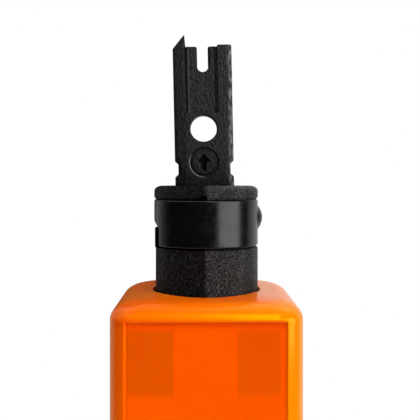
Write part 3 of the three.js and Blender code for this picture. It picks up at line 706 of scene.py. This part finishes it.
def blade_outline():
    low, high, half = BLADE["low"], BLADE["high"], BLADE["half"]
    prong, left, right = high - 1.9, SLOT["x"] - SLOT["half"], SLOT["x"] + SLOT["half"]
    points = [(-half, low + 0.5), (-half + 0.5, low), (-SLOT["half"], low), (-SLOT["half"], low + 3.3)]
    points += arc(0, low + 3.3, SLOT["half"], 180, 0, 16)[1:-1]
    points += [(SLOT["half"], low + 3.3), (SLOT["half"], low), (half - 0.5, low), (half, low + 0.5)]
    points += notched_edge(1, low + NOTCH_DOWN) + notched_edge(1, high - NOTCH_DOWN)
    points += [(half, high - 2.2)] + arc(half - 0.3, high - 2.0, 0.3, 0, 90, 3) + [(2.6, high - 1.7)]
    points += [(2.45, high - 1.85), (2.3, prong)] + arc(right + CORNER, prong - CORNER, CORNER, 90, 180, 3)
    points += arc(SLOT["x"], high - SLOT_DOWN, SLOT["half"], 0, -180, 20)
    points += arc(left - CORNER, prong - CORNER, CORNER, 0, 90, 3)
    points += [(-2.75, prong), (-2.88, high - 0.1), (-2.95, high), (-half, high - 2.3)]
    points += notched_edge(-1, high - NOTCH_DOWN) + notched_edge(-1, low + NOTCH_DOWN)
    return points


def loft(name, sections):
    """Closed sections of the same number of points, joined in turn."""
    count, last = len(sections[0]), len(sections) - 1
    faces = [tuple(range(count)), tuple(range(last * count, (last + 1) * count))]
    for i in range(last):
        for k in range(count):
            m = (k + 1) % count
            faces.append((i * count + k, i * count + m, (i + 1) * count + m, (i + 1) * count + k))
    return add_object(name, [p for section in sections for p in section], faces)


def worn_edge(name, side, breaks, slope, rough, front, shift=0.0):
    """A worn bevel down one long edge.

    breaks lists (height, distance of the bevel's inner line from the axis).
    """
    sections = []
    heights = [z for z, _ in breaks]
    for z in np.arange(heights[0], heights[-1], 0.2):
        inner = np.interp(z, heights, [x for _, x in breaks])
        inner += rough * noise.noise(Vector((shift, 3.1, z * 1.3)))
        step, reach = inner + 0.27, 6.0 - inner - 0.27
        sections.append([(side * inner, front - 0.02, z), (side * 6.0, front - 0.02, z),
                         (side * 6.0, front + 0.13 + slope * reach, z), (side * step, front + 0.13, z),
                         (side * (inner + 0.03), front, z)])
    return loft(name, sections)


def blade_solid(name, shift):
    """A reversible blade with worn edges, a hole, a channel behind the knife and a ringed mark."""
    front, rear, low, high = -BLADE["thick"] / 2, BLADE["thick"] / 2, BLADE["low"], BLADE["high"]
    blade = prism(name, blade_outline(), front, rear, "Y")
    back = [(-4.86, rear - 0.35), (-4.86, front - 1), (4.86, front - 1), (4.86, rear - 0.35)]
    back += [(4.5, rear + 0.01), (-4.5, rear + 0.01)]
    combine(blade, [prism("back_tool", back, low - 1, high + 1, "Z")], "INTERSECT")
    notch = high - NOTCH_DOWN
    right = [(low - 1, 4.1), (notch - 2.4, 4.1), (notch - 1.7, 3.75), (notch - 1.0, 3.5), (notch + 1.2, 3.5),
             (notch + 1.8, 4.05), (high - 10.3, 4.1), (high - 9.6, 4.2), (high - 8.2, 4.55), (high + 1, 4.55)]
    left = [(low - 1, 4.45), (notch - 1.6, 4.4), (notch - 1.1, 3.75), (notch + 1.1, 3.75), (notch + 1.6, 4.3),
            (high - 12, 4.4), (high + 1, 4.62)]
    floor, top = front + 0.42, high + 1
    channel = [(-3.22, front - 1), (-3.22, front), (-2.88, front + 0.22), (-2.8, floor + 0.2)]
    channel += [(-2.62, floor + 0.2), (-2.5, front + 0.2), (-2.14, floor), (2.0, floor)]
    channel += [(2.15, floor + 0.22), (2.4, floor + 0.22), (2.52, front), (2.52, front - 1)]
    lips = [(-1.4, -0.1), (-1.3, 0.42), (0.0, 1.6), (1.3, 0.42), (1.4, -0.1)]
    lips = [(SLOT["x"] + x, front + y) for x, y in lips]
    ring = [(1.88, -0.2), (2.56, -0.2), (2.5, 0.0), (2.28, 0.28), (2.12, 0.28), (1.94, 0.0)]
    arrow = [(-0.38, -1.4), (0.38, -1.4), (0.38, 0.1), (1.1, 0.1), (0.0, 1.45), (-1.1, 0.1), (-0.38, 0.1)]
    mark = prism("mark_tool", [(x, z + high - MARK_DOWN) for x, z in arrow], front - 0.2, front + 0.5, "Y")
    hole = [(0, -2), (2.42, -2), (2.4, front - 0.01), (2.2, front + 0.2), (2.2, rear - 0.15)]
    hole += [(2.35, rear + 0.01), (2.35, 2), (0, 2)]
    grind = [(rear - 1.9, high + 0.5), (rear, high - 5.5), (rear + 1, high - 5.5), (rear + 1, high + 0.5)]
    carve(
        blade,
        worn_edge(name + "_right", 1, right, 0.9, 0.18, front),
        worn_edge(name + "_left", -1, left, 0.8, 0.07, front, 9.0),
        prism("channel_tool", channel, high - CHANNEL_DOWN, top, "Z"),
        prism("lip_tool", lips, high - SLOT_DOWN, top, "Z"),
        prism("grind_tool", grind, -6.0, -2.72, "X"),
        lathe("hole_tool", hole, 72, "Y", (0, 0, high - HOLE_DOWN)),
        lathe("ring_tool", ring, 64, "Y", (0, front, high - MARK_DOWN)),
        mark,
    )
    blade.data.transform(Matrix.Translation([c * MM for c in shift]))
    return blade


def add_blades(material):
    cutter = blade_solid("blade_steel", (0, 0, 0))
    pivot = Matrix.Translation((0, 0, DETENT_Z * MM))
    lean = Matrix.Translation((BLADE_SIDE * MM, 0, 0)) @ Matrix.Rotation(math.radians(BLADE_LEAN), 4, "Y")
    cutter.data.transform(pivot @ lean @ pivot.inverted())
    finish_piece(cutter, "cutter", material, "black_oxide_steel", "blade", crease=25, bevel=0.05)
    spare = blade_solid("spare_blade_steel", SPARE_SHIFT)
    finish_piece(spare, "housing", material, "black_oxide_steel", "spare_blade", crease=25, bevel=0.05)


# ---- Dial, door, screws ----

def add_dial(material):
    knob = [(0, 13.1), (5.7, 13.1), (6.0, 13.35), (6.0, 14.15), (5.75, 14.4), (0, 14.4)]

    def fluted(r, h, angle):
        return (r - 0.16 * (0.5 - 0.5 * math.cos(24 * angle)) if r > 5.5 else r), h

    dial = lathe("force_dial_knob", knob, 192, "X", (0, 0, DIAL_Z), fluted)
    shaft = [(0, -12.1), (1.7, -12.1), (2.0, -11.8), (2.0, 9.0), (1.5, 9.0), (1.5, 10.1)]
    shaft += [(2.0, 10.1), (2.0, 13.4), (0, 13.4)]
    weld(dial, lathe("shaft_tool", shaft, 64, "X", (0, 0, DIAL_Z)))
    slot = rounded_rectangle(0.7, 4.6, 0.5, cv=DIAL_Z)
    pointer = [(-0.55, 15.35), (0.55, 15.35), (0, 16.1)]
    carve(dial, prism("slot_tool", slot, 13.6, 16, "X"), prism("pointer_tool", pointer, 14.15, 16, "X"))
    finish_piece(dial, "dial", material, "black_plastic", "force_dial", bevel=0.06)


def add_door(material):
    pin_at = (0, DOOR_PIN["y"], DOOR_PIN["z"])
    door = prism("storage_door_leaf", rounded_rectangle(6.4, 27.75, 0.8, cv=31.25), 11.4, 13.4, "Y")
    neck = [(-3.45, 58.0), (3.45, 58.0), (3.45, 62.0), (-3.45, 62.0)]
    weld(
        door,
        prism("neck_leaf", neck, 11.4, 13.4, "Y"),
        rod("knuckle", 1.36, -3.5, 3.5, "X", pin_at, edge=0.15),
    )
    ridges = []
    for i in range(4):
        ridges.append(rod(f"ridge_tool_{i}", 0.8, -3.2, 3.2, "X", (0, 13.75, 12.5 + 1.9 * i), edge=0.3))
    carve(
        door,
        rod("pin_bore", 1.1, -7, 7, "X", pin_at),
        rod("door_finger_tool", 1.6, -3.5, 3.5, "X", (0, 14.3, 7.5), edge=0.4),
        *ridges,
    )
    finish_piece(door, "door", material, "orange_plastic", "storage_door", bevel=0.08)
    pin = rod("hinge_pin_rod", 0.8, -6.2, 6.2, "X", pin_at, edge=0.2)
    finish_piece(pin, "housing", STEEL, "spring_steel", "door_hinge_pin")


def threaded(r, h, angle):
    """Shallow thread rings on a screw's shank."""
    if 0.7 < r < 0.85 and h < 5:
        r -= THREAD["depth"] * (0.5 + 0.5 * math.cos(2 * math.pi * h / THREAD["pitch"] - angle))
    return r, h


def add_screws(material):
    profile = [(0, -6.5), (0.5, -6.5), (0.8, -5.9)] + [(0.8, y) for y in np.arange(-5.8, 6.2, 0.2)]
    profile += [(0.8, 6.3), (1.7, 6.3), (1.7, 7.2), (1.55, 7.5), (1.1, 7.66), (0.5, 7.7), (0, 7.7)]
    for i, (x, z) in enumerate(SCREWS, start=1):
        screw = lathe(f"screw_{i}", profile, 32, "Y", (x, 0, z), threaded)
        for name, w, h in (("a", 1.0, 0.24), ("b", 0.24, 1.0)):
            carve(screw, prism(f"drive_{name}_{i}", rounded_rectangle(w, h, 0.1, 2, x, z), 6.95, 9, "Y"))
        finish_piece(screw, "housing", material, "spring_steel", f"shell_screw_{i}")


# ---- Inner pieces: smooth coils, and better finishes on the CAD solids ----

def coil(name, radius, wire, low, high, turns, part=(0.0, 1.0), axis="Z", at=(0, 0, 0)):
    """An open coil spring, or the part of it between two shares of its length."""
    steps, sides = round(turns * 40 * (part[1] - part[0])), 12
    points, faces = [], []
    for i in range(steps + 1):
        share = part[0] + (part[1] - part[0]) * i / steps
        angle = 2 * math.pi * turns * share
        along = low + wire + (high - low - 2 * wire) * share
        for k in range(sides):
            t = 2 * math.pi * k / sides
            r = radius + wire * math.cos(t)
            x, y, z = place(axis, r * math.cos(angle), r * math.sin(angle), along + wire * math.sin(t))
            points.append((x + at[0], y + at[1], z + at[2]))
    for i in range(steps):
        for k in range(sides):
            m = (k + 1) % sides
            faces.append((i * sides + k, (i + 1) * sides + k, (i + 1) * sides + m, i * sides + m))
    faces += [tuple(range(sides)), tuple(range(steps * sides, (steps + 1) * sides))]
    return add_object(name, points, faces)


def flatten(obj):
    """Gives a spring its own copy of its mesh."""
    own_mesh(obj)


def add_springs(material):
    """The impact spring in two pieces, its lowest turns and the rest of it, both tied to the housing."""
    low, high, wire, lowest = 20.3, 61.7, 0.8, 0.25
    foot = coil("impact_coil_foot", 4.6, wire, low, high, 8, (0.0, lowest))
    finish_piece(foot, "housing", material, "spring_steel", "impact_spring")
    flatten(foot)
    main = coil("impact_coil", 4.6, wire, low, high, 8, (lowest, 1.0))
    finish_piece(main, "housing", material, "spring_steel", "impact_spring")
    flatten(main)
    back = coil("rod_return_coil", 3.3, 0.45, 90.3, 99.7, 6)
    finish_piece(back, "striker", material, "spring_steel", "rod_return_spring")
    sear = coil("sear_coil", 1.15, 0.2, -8.6, -4.8, 4, axis="X", at=(0, 0, 85.5))
    finish_piece(sear, "striker", material, "spring_steel", "sear_spring")
    flatten(sear)


def refinish(node, material):
    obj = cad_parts[node]
    obj.data.materials.clear()
    obj.data.materials.append(material)


ORANGE = orange_plastic("orange_plastic")
ORANGE_DOOR = orange_plastic("orange_plastic_door", panel=False)
STEEL = steel("spring_steel", 168)
BRIGHT = steel("bright_steel", 196)
OXIDE = black_oxide()
PLASTIC = black_plastic()

# The CAD nodes that keep their shape and get a better finish.
STEEL_NODES = ("dial_retaining_clip", "spring_thrust_washer", "sear_cam_insert", "nose_snap_ring",
               "anvil_pin")
BRIGHT_NODES = ("dial_cam", "spring_seat", "hammer", "sear_plate", "detent_ball_left", "detent_ball_right",
                "anvil_rod")

add_shells(ORANGE)
add_nose(cast_black())
add_band(gloss_black())
add_blades(OXIDE)
add_dial(PLASTIC)
add_door(ORANGE_DOOR)
add_screws(STEEL)
add_springs(STEEL)
for node in STEEL_NODES:
    refinish(node, STEEL)
for node in BRIGHT_NODES:
    refinish(node, BRIGHT)
refinish("bumper_ring", black_rubber())


# ---- Floor, light and camera ----

# How bright the room is at each azimuth, in degrees from the front towards the right.
WALLS = ((-180, 0.05), (-152, 0.05), (-146, 0.5), (-122, 0.5), (-92, 0.03),
         (100, 0.04), (112, 0.8), (178, 0.8), (180, 0.05))
LAMP_DISTANCE = 0.6
LAMPS_AIM = (0, 0, 0.12)


def add_floor():
    n = Nodes("floor")
    tone = n.mix(n.noise(6, 2), (0.86, 0.86, 0.86, 1), (0.9, 0.9, 0.9, 1))
    n.surface(Base_Color=tone, Roughness=0.9)
    floor = lathe("floor", [(0, -3), (240, -3), (240, -0.05), (0, -0.05)], 96)
    floor.data.materials.append(n.material)


def add_world():
    """White to the camera. To the object it is a dim room with bright walls behind it."""
    world = bpy.data.worlds.new("studio")
    bpy.context.scene.world = world
    world.use_nodes = True
    tree = world.node_tree
    tree.nodes.clear()
    link = tree.links.new

    def new(kind, **settings):
        node = tree.nodes.new(kind)
        for key, value in settings.items():
            setattr(node, key, value)
        return node

    split = new("ShaderNodeSeparateXYZ")
    link(new("ShaderNodeTexCoord").outputs["Generated"], split.inputs[0])
    front = new("ShaderNodeMath", operation="MULTIPLY")
    link(split.outputs["Y"], front.inputs[0])
    front.inputs[1].default_value = -1
    azimuth = new("ShaderNodeMath", operation="ARCTAN2")
    link(split.outputs["X"], azimuth.inputs[0])
    link(front.outputs[0], azimuth.inputs[1])
    share = new("ShaderNodeMapRange")
    link(azimuth.outputs[0], share.inputs["Value"])
    share.inputs["From Min"].default_value = -math.pi
    share.inputs["From Max"].default_value = math.pi
    ramp = new("ShaderNodeValToRGB")
    link(share.outputs["Result"], ramp.inputs["Fac"])
    elements = ramp.color_ramp.elements
    while len(elements) < len(WALLS):
        elements.new(0.5)
    for element, (degrees, level) in zip(elements, WALLS):
        element.position = degrees / 360 + 0.5
        element.color = (level, level, level, 1)
    lit = new("ShaderNodeBackground")
    link(ramp.outputs["Color"], lit.inputs["Color"])
    plain = new("ShaderNodeBackground")
    plain.inputs["Color"].default_value = (1, 1, 1, 1)
    mix = new("ShaderNodeMixShader")
    link(new("ShaderNodeLightPath").outputs["Is Camera Ray"], mix.inputs["Fac"])
    link(lit.outputs[0], mix.inputs[1])
    link(plain.outputs[0], mix.inputs[2])
    link(mix.outputs[0], new("ShaderNodeOutputWorld").inputs["Surface"])


def add_light(name, azimuth, elevation, size, power):
    """A softbox facing the nose. Azimuth is counted from the front towards the right."""
    data = bpy.data.lights.new(name, "AREA")
    data.shape = "RECTANGLE"
    data.size, data.size_y = size
    data.energy = power
    lamp = bpy.data.objects.new(name, data)
    bpy.context.scene.collection.objects.link(lamp)
    az, el = math.radians(azimuth), math.radians(elevation)
    away = Vector((math.sin(az) * math.cos(el), -math.cos(az) * math.cos(el), math.sin(el)))
    lamp.location = Vector(LAMPS_AIM) + away * LAMP_DISTANCE
    lamp.rotation_mode = "QUATERNION"
    lamp.rotation_quaternion = away.to_track_quat("Z", "Y")


def add_camera():
    """At the height of the nose, a little to the left of square on."""
    data = bpy.data.cameras.new("camera")
    data.sensor_width = 36
    data.lens = 57
    data.shift_y = -0.066
    data.clip_start, data.clip_end = 0.005, 10
    camera = bpy.data.objects.new("camera", data)
    bpy.context.scene.collection.objects.link(camera)
    around = math.radians(0.85)
    camera.location = Matrix.Rotation(-around, 3, "Z") @ Vector((0.00065, -0.1108, 0.1398))
    camera.rotation_euler = (math.pi / 2, 0, -around)
    bpy.context.scene.camera = camera


add_floor()
add_world()
add_light("key", 51.5, 8, (0.56, 0.5), 3.6)
add_light("strip", 10, 35, (0.105, 0.42), 0.8)
add_light("front", -8, 48, (0.7, 0.45), 0.9)
add_light("left", -80, 40, (0.5, 0.5), 0.65)
add_light("top", 0, 85, (1.0, 1.0), 2.1)
add_camera()
bpy.context.scene.view_settings.view_transform = "Standard"
